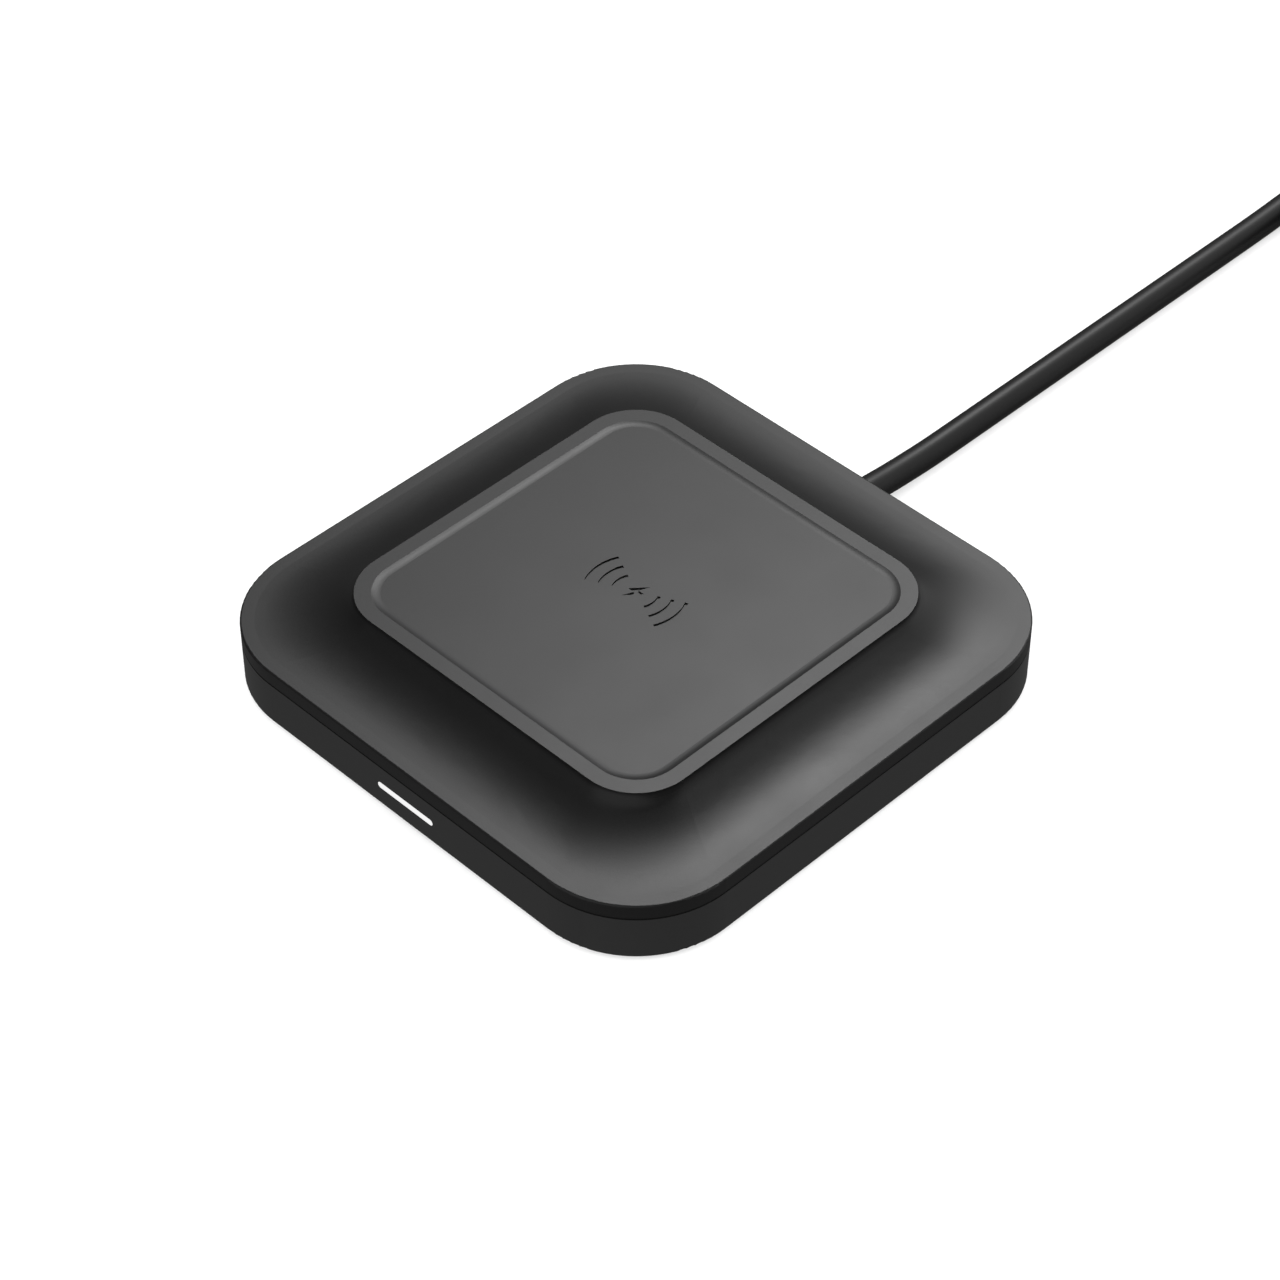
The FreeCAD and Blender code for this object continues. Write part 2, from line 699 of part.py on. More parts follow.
def make_light():
    body = new_body("light_guide")
    flange = block_sketch(
        body, "guide_flange", "Size.guide_width", "Size.guide_depth",
        f"-({BACK_WALL_INSIDE}) + Size.guide_depth / 2", "Size.guide_bottom",
    )
    pad(body, flange, "Size.guide_top - Size.guide_bottom")
    nose = sketch_on(body, "guide_nose", BACK_WALL_INSIDE, "XZ_Plane", y="Size.light_axis")
    rounded_rectangle(nose, "Size.light_width", "Size.light_height", "Size.light_corner")
    pad(body, nose, "Size.wall")
    keep(body, "light_guide")

    shade_height = "Size.inner_rim_top - Size.shade_bottom"
    shade = block("shade_block", "Size.shade_width", "Size.shade_depth", shade_height)
    group("led_shade", shade, [("0", "-Size.board_tab_reach + 0.5", "Size.shade_bottom")])


def block_sketch(body, name, width, depth, y, height):
    sketch = sketch_on(body, name, height, y=y)
    rectangle(sketch, width, depth)
    return sketch


def make_ballast():
    side, corner, sheet_thickness = "Size.ballast_side", "Size.ballast_corner", "Size.sheet_thickness"
    tape_top = f"Size.floor_top + {sheet_thickness}"
    steel_top = f"{tape_top} + Size.ballast_thickness"
    plate("ballast_tape", f"{side} - 1", corner, "Size.floor_top", sheet_thickness)
    plate("ballast_plate", side, corner, tape_top, "Size.ballast_thickness")
    plate("insulation_sheet", f"{side} + 1", corner, steel_top, sheet_thickness)


# ---------------------------------------------------------------- circuit board


def make_board():
    body = new_body("main_board")
    outline = sketch_on(body, "board_outline", "Size.board_bottom")
    rounded_rectangle(outline, "Size.board_side", "Size.board_side", "Size.board_corner")
    pad(body, outline, "Size.board_thickness")
    reach = "(Size.board_tab_reach - Size.board_side / 2 + 2)"
    tab = block_sketch(
        body, "board_tab", "Size.board_tab_width", reach,
        f"-Size.board_tab_reach + {reach} / 2", "Size.board_bottom",
    )
    pad(body, tab, "Size.board_thickness")
    gap = block_sketch(
        body, "board_gap", "Size.board_gap_width", "2 * Size.board_gap_depth",
        "Size.board_side / 2", "Size.board_bottom",
    )
    pocket(body, gap, "Size.board_thickness")
    notch = sketch_on(body, "board_notch", "Size.board_bottom")
    circle(notch, "Size.board_notch", "Size.case_screw_offset", "Size.case_screw_offset")
    around(body, pocket(body, notch, "Size.board_thickness"))
    bore = sketch_on(body, "board_bore", "Size.board_bottom")
    circle(bore, "Size.small_bore_radius", "Size.board_screw_long", "Size.board_screw_short")
    around(body, pocket(body, bore, "Size.board_thickness"))
    return keep(body, "main_board")


# Each kind of component: its length, width and height, and the places of its copies on the board.
COMPONENTS = {
    "controller_chip": ((7.0, 7.0, 0.9), [(-9.0, 6.0)]),
    "bridge_chips": ((5.0, 6.0, 1.0), [(-8.0, -10.0), (1.0, -10.0)]),
    "power_inductor": ((7.3, 7.3, 2.8), [(19.0, -15.0)]),
    "resonant_capacitors": ((3.2, 2.5, 2.4), [(x, 20.0) for x in (-10.0, -5.5, -1.0, 3.5, 8.0)]),
    "input_capacitors": ((1.6, 3.2, 1.6), [(x, 26.0) for x in (-16.0, -13.0, -10.0)]),
    "crystal": ((3.2, 2.5, 0.8), [(-19.0, 7.0)]),
    "status_leds": ((3.8, 1.0, 1.0), [(x, -40.2) for x in (-3.2, 3.2)]),
}
PASSIVE_SIZE = (1.6, 0.8, 0.5)
PASSIVE_ROWS = [(x, y) for y in (-19.0, -21.5) for x in (-14.0, -11.0, -8.0, -5.0, -2.0, 1.0)]
PASSIVE_COLUMNS = [(x, y) for x in (-21.0, -24.0) for y in (-6.0, -3.5, -1.0, 1.5)]


def make_components():
    kinds = dict(COMPONENTS, small_passives=(PASSIVE_SIZE, PASSIVE_ROWS + PASSIVE_COLUMNS))
    for label, (size, places) in kinds.items():
        source = block(f"{label}_block", *(str(length) for length in size))
        group(label, source, [(str(x), str(y), BOARD_TOP) for x, y in places])


def make_screws():
    case_screw = screw(
        "case_screw", "Size.case_head_radius", "Size.case_head_height",
        "Size.case_shank_radius - Size.thread_play", "Size.case_shank_length",
    )
    offset = "Size.case_screw_offset"
    upside_down = Rotation(Vector(1, 0, 0), 180)
    group("case_screws", case_screw, four_places(offset, offset, "Size.case_sink_top"), upside_down)
    small = ("Size.small_head_radius", "Size.small_head_height", "Size.small_shank_radius - Size.thread_play")
    board_screw = screw("board_screw", *small, "Size.board_shank_length")
    group(
        "board_screws", board_screw,
        four_places("Size.board_screw_long", "Size.board_screw_short", BOARD_TOP),
    )
    tray_screw = screw("tray_screw", *small, "Size.tray_shank_length")
    offset = "Size.tray_screw_offset"
    group("tray_screws", tray_screw, four_places(offset, offset, "Size.tray_bottom"), upside_down)
    clamp_screw = screw("clamp_screw", *small, "Size.clamp_shank_length")
    top = "Size.block_top + Size.clamp_thickness"
    places = [(f"{sign}Size.clamp_screw_offset", "Size.clamp_screw_y", top) for sign in ("", "-")]
    group("clamp_screws", clamp_screw, places)


# ---------------------------------------------------------------- coil, shield and tray

FERRITE_TOP = "Size.ferrite_bottom + Size.ferrite_thickness"
COIL_END_RADIUS = "Size.coil_start_radius + Size.coil_turns * Size.coil_pitch"
LEAD_OFFSET = "Size.lead_straight + Size.lead_bend"


def lead_holes(body, name, bottom, length, radius="Size.lead_hole_radius"):
    """The two holes that the coil's ends go down through."""
    sketch = sketch_on(body, name, bottom)
    circle(sketch, radius, "Size.coil_start_radius", f"-({LEAD_OFFSET})")
    circle(sketch, radius, COIL_END_RADIUS, LEAD_OFFSET)
    pocket(body, sketch, length)


def make_ferrite_and_tray():
    ferrite = plate(
        "ferrite_plate", "Size.ferrite_side", "Size.ferrite_corner", "Size.ferrite_bottom",
        "Size.ferrite_thickness",
    )
    lead_holes(ferrite, "ferrite_lead_holes", "Size.ferrite_bottom", "Size.ferrite_thickness")
    eye = sketch_on(ferrite, "ferrite_eye", "Size.ferrite_bottom")
    circle(eye, "2 * Size.bead_radius")
    pocket(ferrite, eye, "Size.ferrite_thickness")

    tray = new_body("coil_carrier")
    outline = sketch_on(tray, "tray_outline", "Size.tray_bottom")
    rounded_rectangle(outline, "Size.tray_side", "Size.tray_side", "Size.tray_corner")
    pad(tray, outline, "Size.ferrite_bottom - Size.tray_bottom")
    fence = sketch_on(tray, "tray_fence", "Size.ferrite_bottom")
    rounded_rectangle(fence, "Size.tray_fence_outer", "Size.tray_fence_outer", "Size.ferrite_corner + 1.2")
    pad(tray, fence, "Size.tray_fence_top - Size.ferrite_bottom")
    seat = sketch_on(tray, "tray_seat", "Size.ferrite_bottom")
    rounded_rectangle(seat, "Size.tray_fence_inner", "Size.tray_fence_inner", "Size.ferrite_corner + 0.2")
    pocket(tray, seat, "Size.tray_fence_top - Size.ferrite_bottom")
    window = sketch_on(tray, "tray_window", "Size.tray_bottom")
    circle(window, "Size.tray_window")
    pocket(tray, window, "Size.ferrite_bottom - Size.tray_bottom")
    lead_holes(tray, "tray_lead_holes", "Size.tray_bottom", "Size.ferrite_bottom - Size.tray_bottom")
    bore = sketch_on(tray, "tray_bore", "Size.tray_bottom")
    circle(bore, "Size.small_bore_radius", "Size.tray_screw_offset", "Size.tray_screw_offset")
    around(tray, pocket(tray, bore, "Size.ferrite_bottom - Size.tray_bottom"))
    keep(tray, "coil_carrier")


def spiral_wire(start_radius, pitch, turns, height):
    """Half circles about two centres in turn, each tangent to the last: a flat spiral."""
    arcs = []
    for half_turn in range(2 * turns):
        odd = half_turn % 2
        centre = Vector(odd * pitch / 2, 0, height)
        ring = Part.Circle(centre, Vector(0, 0, 1), start_radius + half_turn * pitch / 2)
        arcs.append(Part.ArcOfCircle(ring, odd * math.pi, (odd + 1) * math.pi).toShape())
    return Part.Wire(arcs)


def lead_wire(x, direction, height, end_height):
    """From an end of the spiral: a short straight, a quarter bend down, and a straight to the board."""
    straight = value("Size.lead_straight")
    bend = value("Size.lead_bend")
    corner_y = direction * (straight + bend)
    start = Vector(x, 0, height)
    bend_start = Vector(x, direction * straight, height)
    inset = bend * math.sqrt(0.5)
    middle = Vector(x, direction * (straight + inset), height - bend + inset)
    bend_end = Vector(x, corner_y, height - bend)
    end = Vector(x, corner_y, end_height)
    return Part.Wire([
        Part.LineSegment(start, bend_start).toShape(),
        Part.Arc(bend_start, middle, bend_end).toShape(),
        Part.LineSegment(bend_end, end).toShape(),
    ])


def make_coil():
    height = value(f"{FERRITE_TOP} + Size.litz_radius")
    start_radius = value("Size.coil_start_radius")
    spiral = spiral_wire(start_radius, value("Size.coil_pitch"), int(value("Size.coil_turns")), height)
    keep(tube("tx_coil", spiral, "Size.litz_radius"), "tx_coil")
    board_top = value(BOARD_TOP)
    leads = []
    for name, x, direction in (("inner", start_radius, -1), ("outer", value(COIL_END_RADIUS), 1)):
        wire = lead_wire(x, direction, height, board_top)
        leads.append(tube(f"{name}_lead", wire, "Size.litz_radius"))
    compound = doc.addObject("Part::Compound", "coil_leads")
    compound.Links = leads
    keep(compound, "coil_leads")

    tape = new_body("coil_adhesive")
    ring = sketch_on(tape, "coil_tape", f"{FERRITE_TOP} + 2 * Size.litz_radius")
    circle(ring, "Size.coil_tape_outer")
    circle(ring, "Size.coil_tape_inner")
    pad(tape, ring, f"Size.ceiling - ({FERRITE_TOP}) - 2 * Size.litz_radius")
    keep(tape, "coil_adhesive")


def make_thermistor():
    bead = doc.addObject("Part::Sphere", "bead")
    bind(bead, Radius="Size.bead_radius")
    place(bead, z="Size.ceiling - Size.bead_radius")
    legs = []
    for sign in ("", "-"):
        leg = doc.addObject("Part::Cylinder", "bead_leg")
        bind(leg, Radius="Size.bead_leg_radius", Height=f"Size.ceiling - Size.bead_radius - ({BOARD_TOP})")
        place(leg, x=f"{sign}Size.bead_leg_offset", z=BOARD_TOP)
        legs.append(leg)
    fuse = doc.addObject("Part::MultiFuse", "thermistor")
    fuse.Shapes = [bead, *legs]
    keep(fuse, "thermistor")


# ---------------------------------------------------------------- cord inside the housing


def cylinder_along_y(name, radius, start_y, end_y, height):
    rod = doc.addObject("Part::Cylinder", name)
    bind(rod, Radius=radius, Height=f"{end_y} - ({start_y})")
    place(rod, y=start_y, z=height, rotation=Rotation(Vector(1, 0, 0), -90))
    return rod


STUB_START = "Size.trough_start - Size.rib_thickness"


def make_cord_anchor():
    span = ("Size.cord_radius", STUB_START, "Size.pad_side / 2", "Size.exit_height")
    stub = keep(cylinder_along_y("cord_stub", *span), "cord_stub")
    solid = doc.addObject("Part::Box", "relief_block")
    block_height = "Size.block_top - Size.block_bottom"
    bind(solid, Length="Size.block_width", Width="Size.block_length", Height=block_height)
    block_start = f"{BACK_WALL_INSIDE} - Size.block_length - 0.1"
    place(solid, "-Size.block_width / 2", block_start, "Size.block_bottom")
    relief = doc.addObject("Part::Cut", "strain_relief")
    relief.Base = solid
    relief.Tool = cylinder_along_y("relief_bore", *span)
    keep(relief, "strain_relief")

    clamp = new_body("cord_clamp")
    bar = sketch_on(clamp, "clamp_bar", "Size.block_top", y="Size.clamp_screw_y")
    rounded_rectangle(bar, "Size.clamp_length", "Size.clamp_width", "Size.clamp_corner")
    pad(clamp, bar, "Size.clamp_thickness")
    bores = sketch_on(clamp, "clamp_bores", "Size.block_top", y="Size.clamp_screw_y")
    circle(bores, "Size.small_bore_radius", "Size.clamp_screw_offset")
    circle(bores, "Size.small_bore_radius", "-Size.clamp_screw_offset")
    pocket(clamp, bores, "Size.clamp_thickness")
    keep(clamp, "cord_clamp")
    return stub


# Each core: where it leaves the jacket's end, from the cord's axis, and where it lands on the board
CORES = {
    "cord_wire_red": ((-1.1, 0.85), -4.2),
    "cord_wire_white": ((-0.6, -0.34), -1.4),
    "cord_wire_green": ((0.6, -0.34), 1.4),
    "cord_wire_black": ((1.1, 0.85), 4.2),
}


def make_cores():
    start_y = value(STUB_START)
    axis = value("Size.exit_height")
    landing = value(f"{BOARD_TOP} + Size.wire_radius")
    edge_y = value("Size.board_side / 2 - Size.board_gap_depth")
    for label, ((x, up), landing_x) in CORES.items():
        points = [
            Vector(x, start_y, axis + up),
            Vector(x, start_y - 1.6, axis + up),
            Vector(landing_x, edge_y + 0.9, landing + 0.1),
            Vector(landing_x, edge_y - 2.2, landing),
        ]
        wire, _ = rounded_route(points)
        keep(tube(label, wire, "Size.wire_radius"), label)


# ---------------------------------------------------------------- free cord and its plug

FLOOR = DIMENSIONS["cord_radius"]
BACK = DIMENSIONS["pad_side"] / 2
LIFT = DIMENSIONS["strap_thickness"]
# The winding's outermost turn, as wide as its flat spiral makes it, is tangent to the line x = 0.
WINDING_REACH = "(Size.winding_middle + Size.winding_turns * Size.cord_radius)"
WINDING_BAND = "(2 * Size.winding_turns * Size.cord_radius + 2 * Size.cord_radius)"
WINDING_HEIGHT = "(4 * Size.cord_radius)"
CENTRE_Y = DIMENSIONS["winding_centre_y"]

# Out of the wall, down onto the table in a short bend, straight back, and up onto the strap's thickness
LEAD_POINTS = (
    (0.0, BACK, DIMENSIONS["exit_height"]),
    (0.0, BACK + 4.0, 3.35),
    (0.0, BACK + 10.0, 2.7),
    (0.0, BACK + 19.0, FLOOR),
    (0.0, CENTRE_Y - 26.0, FLOOR),
    (0.0, CENTRE_Y - 11.0, FLOOR + LIFT),
)
# Off the winding's upper layer, down beside it and into the plug's boot
TAIL_POINTS = (
    (69.55, CENTRE_Y, 7.4),
    (69.55, CENTRE_Y - 13.0, 6.9),
    (70.0, CENTRE_Y - 26.0, 5.0),
    (71.0, CENTRE_Y - 39.0, 4.1),
    (72.0, CENTRE_Y - 52.0, 3.9),
)


def make_winding():
    winding = new_body("cord_coil")
    section = sketch_on(
        winding, "winding_section", "0", "XZ_Plane", x="Size.winding_middle",
        y=f"Size.strap_thickness + {WINDING_HEIGHT} / 2",
    )
    rounded_rectangle(section, WINDING_BAND, WINDING_HEIGHT, "Size.cord_radius")
    ring = winding.newObject("PartDesign::Revolution", "winding_ring")
    ring.Profile = section
    ring.ReferenceAxis = (origin_item(winding, "Z_Axis"), [""])
    ring.Angle = 360
    place(winding, WINDING_REACH, "Size.winding_centre_y")
    return keep(winding, "cord_coil")


def trimmed(label, points, *neighbours):
    """A tube of cord, cut back to meet its neighbours face to face."""
    piece = cord_tube(f"{label}_tube", points)
    for number, neighbour in enumerate(neighbours):
        rest = doc.addObject("Part::Cut", f"{label}_cut_{number}")
        rest.Base = piece
        rest.Tool = neighbour
        piece = rest
    keep(piece, label)


def make_free_cord(stub, overmould):
    winding = make_winding()
    trimmed("cord_lead", LEAD_POINTS, winding, stub)
    trimmed("cord_tail", TAIL_POINTS, winding, overmould)

    # The strap goes round the winding's section at its far side.
    strap = new_body("cord_tie")
    outer = sketch_on(strap, "strap_outer", "-Size.strap_width / 2", "YZ_Plane")
    width = f"({WINDING_BAND} + Size.strap_slack)"
    rounded_rectangle(
        outer, f"{width} + 2 * Size.strap_thickness", f"{WINDING_HEIGHT} + 2 * Size.strap_thickness",
        "Size.cord_radius + Size.strap_thickness",
    )
    pad(strap, outer, "Size.strap_width")
    inner = sketch_on(strap, "strap_inner", "-Size.strap_width / 2", "YZ_Plane")
    rounded_rectangle(inner, width, WINDING_HEIGHT, "Size.cord_radius")
    pocket(strap, inner, "Size.strap_width")
    place(
        strap, WINDING_REACH, "Size.winding_centre_y + Size.winding_middle - Size.strap_slack / 2",
        f"Size.strap_thickness + {WINDING_HEIGHT} / 2",
    )
    keep(strap, "cord_tie")


PLUG_TURN = Rotation(Vector(1, 0, 0), 90)


def place_on_plug(item, start="0"):
    """Pieces of the plug are drawn along their own Z, and point towards -Y where they lie."""
    place(item, "Size.plug_x", f"Size.plug_start_y - ({start})", "Size.plug_axis", PLUG_TURN)


def make_plug():
    grip_end = "Size.boot_length + Size.grip_length"
    body = new_body("plug_overmould")
    boot_start = sketch_on(body, "boot_start")
    circle(boot_start, "Size.boot_start_radius")
    boot_end = sketch_on(body, "boot_end", "Size.boot_length")
    circle(boot_end, "Size.boot_end_radius")
    loft(body, "AdditiveLoft", [boot_start, boot_end])
    grip = sketch_on(body, "grip", "Size.boot_length")
    rounded_rectangle(grip, "Size.grip_width", "Size.grip_height", "Size.grip_corner")
    pad(body, grip, "Size.grip_length")
    round_edges(body, "Size.grip_fillet", at_level(grip_end))
    place_on_plug(body)
    overmould = keep(body, "plug_overmould")

    body = new_body("plug_shell")
    outer = sketch_on(body, "metal_outer")
    rounded_rectangle(outer, "Size.metal_width", "Size.metal_height", "Size.metal_corner")
    pad(body, outer, "Size.metal_length")
    inner = sketch_on(body, "metal_inner")
    rounded_rectangle(
        inner, "Size.metal_width - 2 * Size.metal_wall", "Size.metal_height - 2 * Size.metal_wall",
        "Size.metal_corner - Size.metal_wall",
    )
    pocket(body, inner, "Size.metal_length")
    for number, sign in enumerate(("", "-")):
        window = sketch_on(
            body, f"metal_window_{number}", "-Size.metal_height", "XZ_Plane",
            x=f"{sign}Size.metal_window_offset", y="Size.metal_window_start + Size.metal_window / 2",
        )
        rectangle(window, "Size.metal_window", "Size.metal_window")
        pocket(body, window, "2 * Size.metal_height")
    place_on_plug(body, grip_end)
    keep(body, "plug_shell")

    # The insulator lies against one wide wall of the metal shell, with the contacts on its open face.
    body = new_body("plug_tongue")
    upper_wall = "Size.metal_height / 2 - Size.metal_wall"
    tongue = sketch_on(body, "tongue_section", y=f"{upper_wall} - Size.tongue_height / 2")
    rectangle(tongue, "Size.tongue_width", "Size.tongue_height")
    pad(body, tongue, "Size.tongue_length")
    place_on_plug(body, grip_end)
    keep(body, "plug_tongue")

    contact = block("contact", "Size.contact_width", "Size.contact_length", "Size.contact_height")
    contact_z = f"Size.plug_axis + {upper_wall} - Size.tongue_height - Size.contact_height"
    contact_y = f"Size.plug_start_y - ({grip_end}) - Size.tongue_length + Size.contact_length / 2 + 1"
    across = [f"Size.plug_x + {step} * Size.contact_pitch" for step in (-1.5, -0.5, 0.5, 1.5)]
    group("plug_contacts", contact, [(x, contact_y, contact_z) for x in across])
    return overmould


# ---------------------------------------------------------------- build, check and write


def check_and_write():
    doc.recompute()
    for item in doc.Objects:
        if "Invalid" in item.State or "Error" in item.State:
            raise RuntimeError(f"{item.Label} failed: {item.State}")
    os.makedirs("parts", exist_ok=True)
    for item in kept:
        shape = item.Shape
        if shape.isNull() or not shape.isValid() or not shape.Solids:
            raise RuntimeError(f"{item.Label} is not a valid solid")
    for item in kept:
        item.Shape.exportStep(os.path.join("parts", f"{item.Label}.step"))
    print(f"{len(kept)} nodes written")


make_lower_shell()
make_top_cover()
make_charging_surface()
make_foot()
make_light()
make_ballast()
make_board()
make_components()
make_screws()
make_ferrite_and_tray()
make_coil()
make_thermistor()
cord_stub = make_cord_anchor()
make_cores()
plug_overmould = make_plug()
make_free_cord(cord_stub, plug_overmould)
check_and_write()
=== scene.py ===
import json
import math

import bmesh
import bpy
from mathutils import Matrix, Vector


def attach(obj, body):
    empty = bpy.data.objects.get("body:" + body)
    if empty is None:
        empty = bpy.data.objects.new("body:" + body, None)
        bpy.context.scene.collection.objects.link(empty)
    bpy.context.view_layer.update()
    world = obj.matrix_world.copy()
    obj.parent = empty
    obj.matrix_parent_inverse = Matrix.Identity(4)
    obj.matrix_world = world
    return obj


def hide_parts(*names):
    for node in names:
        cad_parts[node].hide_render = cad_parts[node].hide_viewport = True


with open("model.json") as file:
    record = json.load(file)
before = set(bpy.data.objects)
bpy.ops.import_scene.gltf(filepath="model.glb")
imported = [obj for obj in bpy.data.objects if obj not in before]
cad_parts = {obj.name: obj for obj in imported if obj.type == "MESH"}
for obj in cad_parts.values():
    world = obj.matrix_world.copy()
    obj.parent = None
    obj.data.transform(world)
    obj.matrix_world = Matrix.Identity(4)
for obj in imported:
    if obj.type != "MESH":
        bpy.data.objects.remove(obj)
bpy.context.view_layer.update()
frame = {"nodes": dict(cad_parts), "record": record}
NODES = frame["nodes"]
MM = 0.001


def place_in_scene(name, data):
    made = bpy.data.objects.new(name, data)
    bpy.context.scene.collection.objects.link(made)
    return made


# ---------------------------------------------------------------- camera


def aim_camera(camera, target, back, right, distance):
    """Places the camera at a distance from target along back, level with its own right-hand direction."""
    back = Vector(back).normalized()
    right = Vector(right)
    right = (right - back * right.dot(back)).normalized()
    rotation = Matrix((right, back.cross(right), back)).transposed().to_4x4()
    camera.matrix_world = Matrix.Translation(Vector(target) + back * distance) @ rotation


SENSOR_WIDTH = 36.0
FOCAL_LENGTH = 99.14
VIEW_TARGET = (0.00451, -0.00372, 0.01086)
VIEW_BACK = (0.5132, -0.5145, 0.6870)
VIEW_RIGHT = (0.7085, 0.7057, 0.0)
VIEW_DISTANCE = 0.511

lens = bpy.data.cameras.new("camera")
lens.sensor_width = SENSOR_WIDTH
lens.lens = FOCAL_LENGTH
lens.clip_start = 0.01
lens.clip_end = 50.0
camera = place_in_scene("camera", lens)
aim_camera(camera, VIEW_TARGET, VIEW_BACK, VIEW_RIGHT, VIEW_DISTANCE)
bpy.context.scene.camera = camera


# ---------------------------------------------------------------- the cord's line

CORD_RADIUS = 2.3
# Out of the wall, down onto the table and straight back, in millimetres
LEAD = [
    (0, 46, 3.5), (0, 50, 3.35), (0, 56, 2.7), (0.1, 65, 2.3), (0.1, 74, 2.3),
    (0.2, 137, 2.3), (0.2, 152, 2.3), (0, 167, 2.8),
]
# Off the coil's upper layer, down beside it and into the plug
TAIL = [(69.55, 165, 6.9), (70, 152, 5.0), (71, 139, 4.1), (72, 126, 3.9)]
COIL_CENTRE = (34.775, 178)
COIL_OUTER = 34.775
COIL_PITCH = 2 * CORD_RADIUS
LAYER_TURNS = 4.25
CLIMB_TURNS = 0.5
LOWER_LAYER = 2.8
UPPER_LAYER = LOWER_LAYER + 2 * CORD_RADIUS
POINTS_PER_TURN = 20


def ease(share):
    """A smooth climb from 0 to 1 as share goes from 0 to 1."""
    share = min(max(share, 0.0), 1.0)
    return share * share * (3 - 2 * share)


def coil_points():
    """Two flat layers of turns: the lower winds inwards, climbs at the eye, and the upper winds outwards."""
    points = []
    inner = COIL_OUTER - COIL_PITCH * LAYER_TURNS
    outside = 1 / math.cos(math.pi / POINTS_PER_TURN)
    for step in range(round(2 * LAYER_TURNS * POINTS_PER_TURN)):
        turns = (step + 0.5) / POINTS_PER_TURN
        radius = outside * (inner + COIL_PITCH * abs(turns - LAYER_TURNS))
        angle = math.pi - 2 * math.pi * turns
        climb = ease((turns - LAYER_TURNS + CLIMB_TURNS / 2) / CLIMB_TURNS)
        height = LOWER_LAYER + (UPPER_LAYER - LOWER_LAYER) * climb
        x = COIL_CENTRE[0] + radius * math.cos(angle)
        y = COIL_CENTRE[1] + radius * math.sin(angle)
        points.append((x, y, height))
    return points


def cord_curve(name, points):
    curve = bpy.data.curves.new(name, "CURVE")
    curve.dimensions = "3D"
    curve.bevel_depth = CORD_RADIUS * MM
    curve.bevel_resolution = 10
    curve.resolution_u = 6
    curve.use_fill_caps = True
    spline = curve.splines.new("NURBS")
    spline.points.add(len(points) - 1)
    for point, (x, y, z) in zip(spline.points, points):
        point.co = (x * MM, y * MM, z * MM, 1.0)
    spline.order_u = 3
    spline.use_endpoint_u = True
    spline.use_smooth = True
    return place_in_scene(name, curve)


cord = cord_curve("cord", LEAD + coil_points() + TAIL)


# ---------------------------------------------------------------- material nodes


